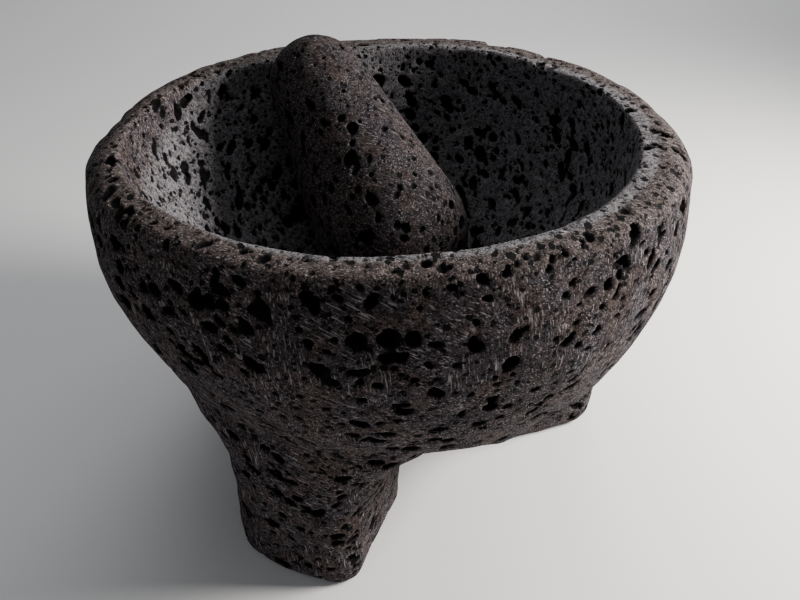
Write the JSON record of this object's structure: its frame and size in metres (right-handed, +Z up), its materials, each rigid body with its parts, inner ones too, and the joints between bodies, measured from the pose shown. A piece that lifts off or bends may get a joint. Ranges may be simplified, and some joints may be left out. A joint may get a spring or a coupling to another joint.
{
  "type": "molcajete",
  "caption": "Basalt mortar carved from one block, a round bowl on stout flared legs, with a loose tapered stone pestle lying in the hollow.",
  "frame": {"origin": "on the bowl's axis, at the level that the feet stand on", "axes": "+Z up along the bowl's axis, -Y to the front, +X to the right"},
  "size_m": [0.2, 0.2, 0.1463],
  "materials": {
    "mortar_stone": "matte",
    "pestle_stone": "matte"
  },
  "bodies": {
    "mortar": {"mortar": "mortar_stone"},
    "pestle": {"pestle": "pestle_stone"}
  },
  "joints": [
    {"name": "pestle_lift", "type": "slide", "parent": "mortar", "child": "pestle", "axis": [0, 0, 1], "range_m": [0, 0.09]}
  ]
}
